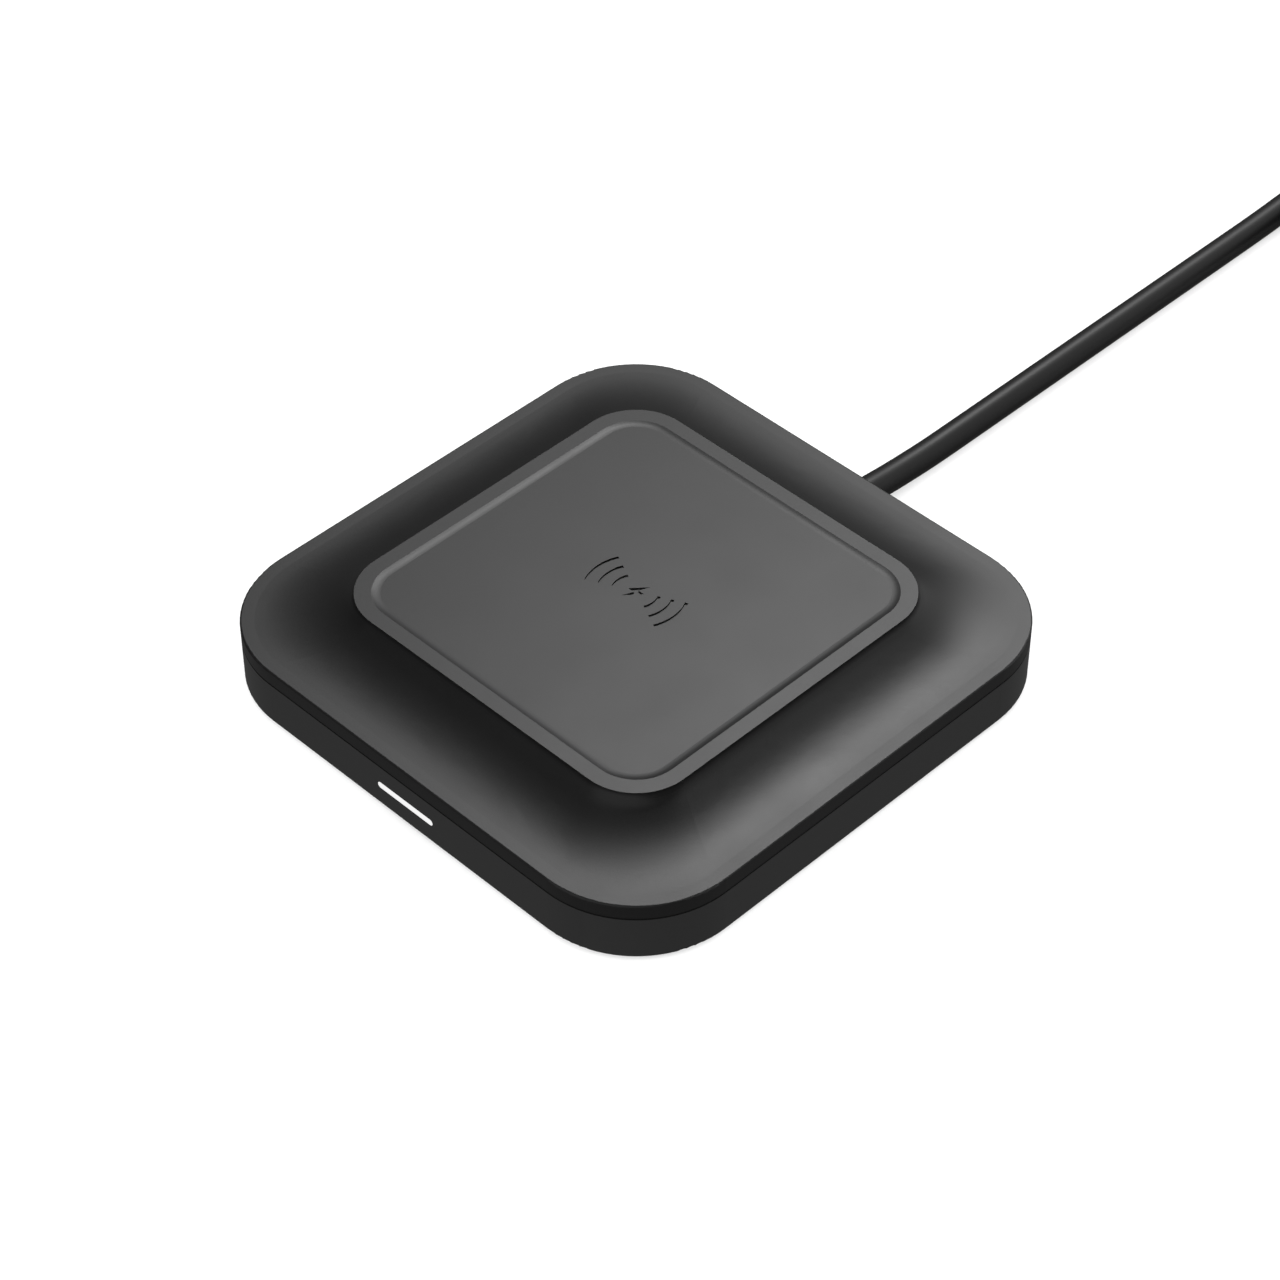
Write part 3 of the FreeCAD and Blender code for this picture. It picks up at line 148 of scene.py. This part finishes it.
class Recipe:
    """A material's node tree round one Principled shader, with short calls for the nodes that it uses."""

    def __init__(self, name, color, roughness, **constants):
        self.material = bpy.data.materials.new(name)
        self.material.use_nodes = True
        self.material.diffuse_color = (*color, 1.0)
        self.tree = self.material.node_tree
        self.shader = self.tree.nodes["Principled BSDF"]
        self.shader.inputs["Base Color"].default_value = (*color, 1.0)
        self.shader.inputs["Roughness"].default_value = roughness
        for socket, amount in constants.items():
            self.shader.inputs[socket.replace("_", " ")].default_value = amount
        self.place = self.node("ShaderNodeTexCoord").outputs["Object"]
        self.relief = None

    def node(self, kind, **settings):
        made = self.tree.nodes.new(kind)
        for setting, amount in settings.items():
            setattr(made, setting, amount)
        return made

    def feed(self, socket, source):
        if isinstance(source, bpy.types.NodeSocket):
            self.tree.links.new(source, socket)
        else:
            socket.default_value = source

    def texture(self, kind, size, stretch=(1, 1, 1), **settings):
        """A texture of about size metres, squeezed by stretch along the axes."""
        mapping = self.node("ShaderNodeMapping")
        mapping.inputs["Scale"].default_value = stretch
        self.feed(mapping.inputs["Vector"], self.place)
        made = self.node(kind, **settings)
        made.inputs["Scale"].default_value = 1.0 / size
        self.feed(made.inputs["Vector"], mapping.outputs["Vector"])
        return made

    def noise(self, size, detail, stretch=(1, 1, 1)):
        made = self.texture("ShaderNodeTexNoise", size, stretch)
        made.inputs["Detail"].default_value = detail
        return made.outputs["Fac"]

    def ridges(self, size, direction, wobble=0.0):
        """Straight ridges, size metres apart, across one axis."""
        made = self.texture("ShaderNodeTexWave", size * 10 / math.pi, bands_direction=direction)
        made.inputs["Distortion"].default_value = wobble
        return made.outputs["Fac"]

    def cells(self, size):
        return self.texture("ShaderNodeTexVoronoi", size).outputs["Distance"]

    def remap(self, source, low, high, start=0.0, end=1.0):
        """Maps source from start..end onto low..high."""
        made = self.node("ShaderNodeMapRange")
        self.feed(made.inputs["Value"], source)
        for socket, amount in (("From Min", start), ("From Max", end), ("To Min", low), ("To Max", high)):
            made.inputs[socket].default_value = amount
        return made.outputs["Result"]

    def math(self, operation, first, second):
        made = self.node("ShaderNodeMath", operation=operation)
        self.feed(made.inputs[0], first)
        self.feed(made.inputs[1], second)
        return made.outputs[0]

    def mix(self, amount, first, second):
        """The first colour where amount is 0, and the second where it is 1."""
        made = self.node("ShaderNodeMix", data_type="RGBA")
        self.feed(made.inputs["Factor"], amount)
        for socket, source in (("A", first), ("B", second)):
            self.feed(made.inputs[socket], (*source, 1.0) if isinstance(source, tuple) else source)
        return made.outputs["Result"]

    def color(self, source):
        self.feed(self.shader.inputs["Base Color"], source)

    def rough(self, source):
        self.feed(self.shader.inputs["Roughness"], source)

    def bump(self, source, depth):
        """Relief of depth metres. Later calls add to earlier ones."""
        made = self.node("ShaderNodeBump")
        made.inputs["Strength"].default_value = 1.0
        made.inputs["Distance"].default_value = depth
        self.feed(made.inputs["Height"], source)
        if self.relief:
            self.feed(made.inputs["Normal"], self.relief)
        self.relief = made.outputs["Normal"]
        self.feed(self.shader.inputs["Normal"], self.relief)


def grained(name, dark, light, roughness, grain=0.00024, depth=0.000004, stretch=(1, 1, 1), **constants):
    """An even fine grain, with slight changes of tone and gloss over the surface."""
    made = Recipe(name, light, roughness, **constants)
    fine = made.noise(grain, 2.5, stretch)
    broad = made.noise(0.011, 3.0)
    tone = made.math("ADD", made.remap(fine, -0.2, 1.2), made.remap(broad, -0.25, 0.25))
    made.color(made.mix(tone, dark, light))
    gloss = made.remap(fine, roughness - 0.04, roughness + 0.04)
    made.rough(made.math("ADD", gloss, made.remap(broad, -0.03, 0.03)))
    made.bump(fine, depth)
    return made


def grey(amount, tint=0.0):
    return (amount, amount, amount * (1 + tint))


SATIN_DARK, SATIN_LIGHT, SATIN_ROUGHNESS = grey(0.0125), grey(0.0175), 0.406


def satin(name, **grain):
    """The black moulded plastic of the cover, and with a finer grain the soft coating of the pad."""
    return grained(name, SATIN_DARK, SATIN_LIGHT, SATIN_ROUGHNESS, **grain)


def board():
    """Solder mask over tracks: straight runs of copper that lie a little proud, with darker gaps between."""
    gap, mask, track = (0.010, 0.085, 0.035), (0.018, 0.130, 0.055), (0.030, 0.200, 0.080)
    made = grained("board_green", gap, mask, 0.28, grain=0.0006, depth=0.000004)
    along = made.remap(made.ridges(0.0011, "X"), 0, 1, start=0.55, end=0.75)
    across = made.remap(made.ridges(0.0013, "Y"), 0, 1, start=0.55, end=0.75)
    where = made.remap(made.noise(0.006, 1.0), 0, 1, start=0.48, end=0.52)
    tracks = made.math("ADD", made.math("MULTIPLY", along, where),
                       made.math("MULTIPLY", across, made.math("SUBTRACT", 1.0, where)))
    made.color(made.mix(tracks, gap, track))
    made.bump(tracks, 0.00003)
    return made


def litz():
    """Enamelled copper strands, twisted together, with painted shade in the grooves between the strands."""
    made = grained("litz_copper", (0.42, 0.15, 0.06), (0.78, 0.36, 0.17), 0.32, grain=0.0003,
                   Metallic=0.85)
    twist_and_painted_shade = made.ridges(0.00035, "DIAGONAL", 1.5)
    made.bump(twist_and_painted_shade, 0.00004)
    # The colour follows the twist: darker in the grooves between the strands, which is painted shade.
    made.color(made.mix(twist_and_painted_shade, (0.30, 0.10, 0.04), (0.80, 0.38, 0.18)))
    return made


def steel(name, tone, roughness, direction):
    """Metal sheet with fine brush marks along one axis."""
    along = 0.04
    stretch = {"X": (along, 1, 1), "Y": (1, along, 1)}[direction]
    made = Recipe(name, grey(tone), roughness, Metallic=1.0)
    brush = made.noise(0.00012, 3.0, stretch)
    stain = made.noise(0.006, 3.0)
    made.color(made.mix(brush, grey(tone * 0.86), grey(tone * 1.08, 0.01)))
    gloss = made.remap(brush, roughness - 0.08, roughness + 0.08)
    made.rough(made.math("ADD", gloss, made.remap(stain, -0.06, 0.06)))
    made.bump(brush, 0.000002)
    return made


def gold():
    made = steel("contact_gold", 0.8, 0.22, "Y")
    tint = made.noise(0.0008, 2.0)
    made.color(made.mix(tint, (0.78, 0.53, 0.19), (0.88, 0.66, 0.28)))
    return made


def woven(name, dark, light, thread):
    """A plain weave of threads, with loose loops over it. The colour is darker in the hollows between the
    threads, which is painted shade, and varies at random with the loops.
    """
    made = Recipe(name, light, 0.85, Specular_IOR_Level=0.25, Sheen_Weight=0.25)
    warp = made.ridges(thread, "Y")
    weft = made.ridges(thread, "X")
    fuzz = made.noise(thread * 0.5, 4.0)
    weave_and_painted_shade = made.math("ADD", made.math("MULTIPLY", warp, weft), made.remap(fuzz, -0.3, 0.3))
    # Darker where the weave lies low, between the threads: painted shade.
    made.color(made.mix(weave_and_painted_shade, dark, light))
    made.rough(made.remap(fuzz, 0.75, 0.95))
    made.bump(weave_and_painted_shade, 0.00008)
    return made


def speckled(name, dark, light, size, roughness, depth=0.00001):
    """Grains of two tones, as in sintered or pressed powder."""
    made = Recipe(name, light, roughness)
    grains = made.cells(size)
    broad = made.noise(size * 12, 2.0)
    made.color(made.mix(made.math("ADD", grains, made.remap(broad, -0.25, 0.25)), dark, light))
    made.rough(made.remap(grains, roughness - 0.08, roughness + 0.1))
    made.bump(grains, depth)
    return made


def cord_jacket():
    """Smooth extruded jacket: a fine even grain with slight changes of tone, and a satin gloss."""
    made = Recipe("cord_jacket", grey(0.012), 0.46)
    fine = made.noise(0.0003, 3.0)
    broad = made.noise(0.02, 2.0)
    tone = made.math("ADD", fine, made.remap(broad, -0.2, 0.2))
    made.color(made.mix(tone, grey(0.0095), grey(0.0145)))
    made.rough(made.math("ADD", made.remap(fine, 0.43, 0.49), made.remap(broad, -0.02, 0.02)))
    made.bump(fine, 0.000003)
    return made


def lit_window():
    """Milky plastic lit evenly from behind."""
    made = grained("light_white", grey(0.85), grey(0.95), 0.35, grain=0.0002, depth=0.000002)
    made.shader.inputs["Emission Color"].default_value = (1.0, 1.0, 1.0, 1.0)
    made.shader.inputs["Emission Strength"].default_value = 0.7
    return made


RECIPES = {
    "cover": satin("cover"),
    "friction_pad": satin("friction_pad", grain=0.00020, depth=0.0000035),
    "lower_housing": grained("lower_housing", grey(0.040), grey(0.050), 0.40, Specular_IOR_Level=1.0),
    "foot_rubber": grained("foot_rubber", grey(0.014), grey(0.024), 0.72, grain=0.0005, depth=0.00002),
    "adhesive": grained("adhesive", (0.52, 0.50, 0.44), (0.72, 0.70, 0.63), 0.6,
                        grain=0.0009, depth=0.00002),
    "screw_steel": steel("screw_steel", 0.52, 0.34, "X"),
    "litz_copper": litz(),
    "ferrite": speckled("ferrite", grey(0.035), grey(0.075, 0.05), 0.0003, 0.55),
    "inner_plastic": grained("inner_plastic", grey(0.03), grey(0.05, 0.05), 0.5,
                             grain=0.0004, depth=0.00001),
    "glass_bead": grained("glass_bead", (0.20, 0.07, 0.02), (0.38, 0.16, 0.05), 0.15, Coat_Weight=0.5),
    "board_green": board(),
    "chip_black": grained("chip_black", grey(0.012), grey(0.028), 0.55, grain=0.00015, depth=0.000008),
    "inductor_core": speckled("inductor_core", grey(0.05), grey(0.14), 0.0002, 0.6, 0.00002),
    "capacitor_body": speckled("capacitor_body", (0.36, 0.24, 0.14), (0.60, 0.46, 0.31), 0.00025, 0.4),
    "crystal_can": steel("crystal_can", 0.66, 0.25, "Y"),
    "led_body": speckled("led_body", (0.80, 0.74, 0.42), (0.92, 0.91, 0.86), 0.0008, 0.3, 0.000004),
    "foam_black": speckled("foam_black", grey(0.008), grey(0.022), 0.0005, 0.9, 0.00012),
    "light_white": lit_window(),
    "ballast_steel": steel("ballast_steel", 0.42, 0.42, "X"),
    "insulation_film": grained("insulation_film", (0.30, 0.32, 0.34), (0.44, 0.46, 0.48), 0.7,
                               grain=0.0004, depth=0.00001, stretch=(1, 0.25, 1)),
    "cord_jacket": cord_jacket(),
    "wire_red": grained("wire_red", (0.42, 0.01, 0.01), (0.62, 0.03, 0.025), 0.35),
    "wire_black": grained("wire_black", grey(0.012), grey(0.022), 0.35),
    "wire_white": grained("wire_white", grey(0.68), grey(0.85), 0.35),
    "wire_green": grained("wire_green", (0.01, 0.22, 0.04), (0.03, 0.36, 0.08), 0.35),
    "tie_strap": woven("tie_strap", grey(0.010), grey(0.040), 0.0006),
    "plug_plastic": grained("plug_plastic", grey(0.0105), grey(0.0150), 0.44),
    "plug_steel": steel("plug_steel", 0.70, 0.24, "Y"),
    "plug_insulator": grained("plug_insulator", grey(0.66), grey(0.80), 0.4),
    "contact_gold": gold(),
}
MATERIALS = {slot: recipe.material for slot, recipe in RECIPES.items()}
for row in frame["record"]["subparts"]:
    NODES[row["node"]].material_slots[0].material = MATERIALS[row["material_slot"]]


# ---------------------------------------------------------------- mesh pieces


ARC_STEPS = 10


def rounded_section(half_width, half_height, corner):
    """Points round a rounded rectangle, from its lower right corner."""
    corner = min(corner, half_width, half_height)
    points = []
    for quarter, (side_x, side_y) in enumerate(((1, -1), (1, 1), (-1, 1), (-1, -1))):
        centre_x, centre_y = side_x * (half_width - corner), side_y * (half_height - corner)
        for step in range(ARC_STEPS + 1):
            angle = math.pi / 2 * (quarter - 1 + step / ARC_STEPS)
            points.append((centre_x + corner * math.cos(angle), centre_y + corner * math.sin(angle)))
    return points


def skin(name, loops, slot, sharp=()):
    """A capped smooth skin over loops of points in millimetres, with crisp edges at the loops in sharp."""
    mesh = bmesh.new()
    rings = [[mesh.verts.new(Vector(point) * MM) for point in loop] for loop in loops]
    for lower, upper in zip(rings, rings[1:]):
        for k in range(len(lower)):
            after = (k + 1) % len(lower)
            mesh.faces.new((lower[k], lower[after], upper[after], upper[k]))
    mesh.faces.new(list(reversed(rings[0])))
    mesh.faces.new(rings[-1])
    for face in mesh.faces:
        face.smooth = True
    for number in sharp:
        ring = rings[number]
        for k, point in enumerate(ring):
            mesh.edges.get((point, ring[(k + 1) % len(ring)])).smooth = False
    bmesh.ops.recalc_face_normals(mesh, faces=mesh.faces)
    data = bpy.data.meshes.new(name)
    mesh.to_mesh(data)
    mesh.free()
    data.materials.append(MATERIALS[slot])
    made = place_in_scene(name, data)
    return made


# The plug's axis and its cord end, and distances from that end, in millimetres
PLUG_X = 72.0
PLUG_Z = 3.9
PLUG_START = 126.0
BOOT_RADIUS = 2.78
BOOT_TAPER = 0.088
BOOT_CUTS = [1.0 + 2.1 * ring for ring in range(4)]
GRIP_START = 11.0
GRIP_HALF_WIDTH, GRIP_HALF_HEIGHT, GRIP_CORNER = 7.8, 3.9, 2.4
GRIP_GROOVES = [14.2 + 1.9 * groove for groove in range(5)]
BACK_ROUNDING, FRONT_ROUNDING = 1.2, 0.8
FRONT_START = 30.2
ROUNDING_STEPS = 6
# (distance along, depth) across a cut in the boot and a groove in the grip, which are crisp where deepest
CUT_DEPTH = 0.42
CUT = [(0.0, 0.0), (0.12, 0.12), (0.18, CUT_DEPTH), (0.92, CUT_DEPTH), (0.98, 0.12), (1.1, 0.0)]
GROOVE_DEPTH = 0.28
GROOVE = [(0.0, 0.0), (0.15, 0.05), (0.25, GROOVE_DEPTH), (0.75, GROOVE_DEPTH), (0.85, 0.05), (1.0, 0.0)]


def plug_sections():
    """(distance from the plug's start, half width, half height, corner, crisp) along boot and grip."""

    def round_row(along, radius, crisp):
        return (along, radius, radius, radius, crisp)

    def grip_row(along, back, crisp, corner_share=1.0):
        corner = GRIP_CORNER - back * corner_share
        return (along, GRIP_HALF_WIDTH - back, GRIP_HALF_HEIGHT - back, corner, crisp)

    turns = [math.pi / 2 * step / ROUNDING_STEPS for step in range(ROUNDING_STEPS + 1)]
    rows = [round_row(0.0, 2.55, True), round_row(0.25, 2.75, False)]
    for start in BOOT_CUTS:
        radius = BOOT_RADIUS + BOOT_TAPER * start
        for along, depth in CUT:
            size = radius + BOOT_TAPER * along - depth
            rows.append(round_row(start + along, size, depth == CUT_DEPTH))
    rows += [round_row(10.2, 3.65, False), round_row(10.9, 3.72, True)]
    for turn in turns:
        out = BACK_ROUNDING * (1 - math.cos(turn))
        back = BACK_ROUNDING * (1 - math.sin(turn))
        rows.append(grip_row(GRIP_START + out, back, turn == 0, corner_share=0.7))
    for start in GRIP_GROOVES:
        rows += [grip_row(start + along, depth, depth == GROOVE_DEPTH) for along, depth in GROOVE]
    for turn in turns:
        back = FRONT_ROUNDING * (1 - math.cos(turn))
        rows.append(grip_row(FRONT_START + FRONT_ROUNDING * math.sin(turn), back, False))
    return rows


def make_plug_grip():
    loops, sharp = [], []
    for number, (along, half_width, half_height, corner, crisp) in enumerate(plug_sections()):
        section = rounded_section(half_width, half_height, corner)
        loops.append([(PLUG_X + x, PLUG_START - along, PLUG_Z + z) for x, z in section])
        if crisp:
            sharp.append(number)
    grip = skin("plug_grip", loops, "plug_plastic", sharp=sharp)
    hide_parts("plug_overmould")
    return grip


# The middle of the strap's loop, on the far side of the coil, and the loop's size along its middle line
STRAP_X = COIL_CENTRE[0]
STRAP_Y = COIL_CENTRE[1] + 24.5
STRAP_Z = 5.1
LOOP_HALF_WIDTH, LOOP_HALF_HEIGHT, LOOP_CORNER = 12.82, 4.84, 2.5
LOOP_STEPS = 8
# Stands in a list of straight lengths for a quarter turn
BEND = "bend"
# How far the strap's end rises over its start, and over what run
LAP_LIFT = 0.62
LAP_RUN = 4.0
LAP_SHORT_OF_CORNER = 1.0
# (distance from the middle, half thickness) across the strap
STRAP_ACROSS = [(-5.0, 0.16), (-4.75, 0.26), (-4.3, 0.26), (-4.15, 0.21), (0.0, 0.21),
                (4.15, 0.21), (4.3, 0.26), (4.75, 0.26), (5.0, 0.16)]
TAB_ROWS = 5
TAB_ROUNDING = 5.6


def strap_path():
    """(y, z, outward y, outward z) along the strap's middle, once round the turns and over its own start."""
    rows = []
    corner = LOOP_CORNER
    length = 2 * math.pi * corner + 4 * (LOOP_HALF_WIDTH + LOOP_HALF_HEIGHT - 2 * corner)
    flat = LOOP_HALF_WIDTH - corner
    side = 2 * (LOOP_HALF_HEIGHT - corner)
    bend = math.pi / 2 * corner
    runs = [flat, BEND, side, BEND, 2 * flat, BEND, side, BEND, flat, flat - LAP_SHORT_OF_CORNER]
    y, z, heading = 0.0, LOOP_HALF_HEIGHT, 0.0
    travelled = 0.0

    def note():
        lift = LAP_LIFT * ease((travelled - length + LAP_RUN) / LAP_RUN)
        normal = heading + math.pi / 2
        out_y, out_z = math.cos(normal), math.sin(normal)
        rows.append((STRAP_Y + y + out_y * lift, STRAP_Z + z + out_z * lift, out_y, out_z))

    note()
    for run in runs:
        centre_y = y + corner * math.cos(heading - math.pi / 2)
        centre_z = z + corner * math.sin(heading - math.pi / 2)
        for _ in range(LOOP_STEPS):
            if run == BEND:
                heading -= math.pi / 2 / LOOP_STEPS
                y = centre_y + corner * math.cos(heading + math.pi / 2)
                z = centre_z + corner * math.sin(heading + math.pi / 2)
                travelled += bend / LOOP_STEPS
            else:
                y += math.cos(heading) * run / LOOP_STEPS
                z += math.sin(heading) * run / LOOP_STEPS
                travelled += run / LOOP_STEPS
            note()
    return rows


def make_strap():
    """A hook-and-loop strap: a flat band with bound edges, narrowed to a round tab at its free end."""
    rows = strap_path()
    loops = []
    for number, (y, z, out_y, out_z) in enumerate(rows):
        left = len(rows) - 1 - number
        narrow = 1.0 if left > TAB_ROWS else math.sqrt(1 - ((TAB_ROWS - left) / TAB_ROUNDING) ** 2)
        outer = [(STRAP_X + x * narrow, y + out_y * t, z + out_z * t) for x, t in STRAP_ACROSS]
        inner = [(STRAP_X + x * narrow, y - out_y * t, z - out_z * t) for x, t in reversed(STRAP_ACROSS)]
        loops.append(outer + inner)
    strap = skin("cord_strap", loops, "tie_strap")
    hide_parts("cord_tie")
    return strap


plug_grip = make_plug_grip()
cord_strap = make_strap()
cord.data.materials.append(MATERIALS["cord_jacket"])
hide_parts("cord_lead", "cord_coil", "cord_tail")
for piece in (cord, plug_grip, cord_strap):
    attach(piece, "root")


# ---------------------------------------------------------------- floor, lights and background

HALF_FLOOR = 4.0
floor_mesh = bpy.data.meshes.new("floor")
corners = [(x * HALF_FLOOR, y * HALF_FLOOR, 0) for x, y in ((-1, -1), (1, -1), (1, 1), (-1, 1))]
floor_mesh.from_pydata(corners, [], [(0, 1, 2, 3)])
floor_mesh.materials.append(Recipe("floor", grey(0.9), 0.9, Specular_IOR_Level=0.0).material)
floor = place_in_scene("floor", floor_mesh)
# Only the camera sees it: to the object, the surroundings below the horizon stand for it
floor.visible_glossy = False
floor.visible_diffuse = False


def light_group(name, state):
    """The floor alone, or everything but the floor, for a light to shine on."""
    group = bpy.data.collections.new(name)
    group.objects.link(floor)
    group.collection_objects[0].light_linking.link_state = state
    return group


ON_FLOOR = light_group("on_floor", "INCLUDE")
OFF_FLOOR = light_group("off_floor", "EXCLUDE")
AIM_POINT = Vector((0, 0, 0.01))


def area_light(name, azimuth, elevation, distance, width, height, radiance, receivers, roll=0.0):
    """A rectangular light that faces the object from a direction, with azimuth anticlockwise from +X."""
    across, up = math.radians(azimuth), math.radians(elevation)
    away = Vector((math.cos(up) * math.cos(across), math.cos(up) * math.sin(across), math.sin(up)))
    data = bpy.data.lights.new(name, "AREA")
    data.shape = "RECTANGLE"
    data.size = width
    data.size_y = height
    data.energy = math.pi * width * height * radiance
    lamp = place_in_scene(name, data)
    lamp.location = away * distance + AIM_POINT
    lamp.rotation_mode = "QUATERNION"
    facing = (-away).to_track_quat("-Z", "Y")
    lamp.rotation_quaternion = facing @ Matrix.Rotation(math.radians(roll), 4, "Z").to_quaternion()
    lamp.light_linking.receiver_collection = receivers
    return lamp


area_light("softbox", azimuth=122.35, elevation=51.04, distance=1.87, width=0.76, height=0.113,
           radiance=53.6, receivers=OFF_FLOOR, roll=21.1)
area_light("side_light", azimuth=69.7, elevation=20.1, distance=1.2, width=1.8, height=1.8,
           radiance=0.563, receivers=OFF_FLOOR)
area_light("fill_light", azimuth=287.9, elevation=25.0, distance=1.2, width=1.97, height=1.97,
           radiance=0.452, receivers=OFF_FLOOR)
floor_light = area_light("floor_light", azimuth=0, elevation=90, distance=2.0, width=6.0, height=6.0,
                         radiance=1.9, receivers=ON_FLOOR)
floor_light.light_linking.blocker_collection = ON_FLOOR

# White to the camera. To the object it is dim above and brighter below, where a white table would be.
TABLE_LIGHT = 0.138
ROOM_LIGHT = 0.085
HORIZON = 0.02

world = bpy.data.worlds.new("studio")
bpy.context.scene.world = world
world.use_nodes = True
sky = world.node_tree
direction = sky.nodes.new("ShaderNodeTexCoord")
height = sky.nodes.new("ShaderNodeSeparateXYZ")
surroundings = sky.nodes.new("ShaderNodeMapRange")
surroundings.inputs["From Min"].default_value = -HORIZON
surroundings.inputs["From Max"].default_value = HORIZON
surroundings.inputs["To Min"].default_value = TABLE_LIGHT
surroundings.inputs["To Max"].default_value = ROOM_LIGHT
sky.links.new(direction.outputs["Generated"], height.inputs["Vector"])
sky.links.new(height.outputs["Z"], surroundings.inputs["Value"])
path = sky.nodes.new("ShaderNodeLightPath")
shade = sky.nodes.new("ShaderNodeMapRange")
background = sky.nodes["Background"]
sky.links.new(surroundings.outputs["Result"], shade.inputs["To Min"])
sky.links.new(path.outputs["Is Camera Ray"], shade.inputs["Value"])
sky.links.new(shade.outputs["Result"], background.inputs["Strength"])
background.inputs["Color"].default_value = (1.0, 1.0, 1.0, 1.0)
bpy.context.scene.view_settings.view_transform = "Standard"
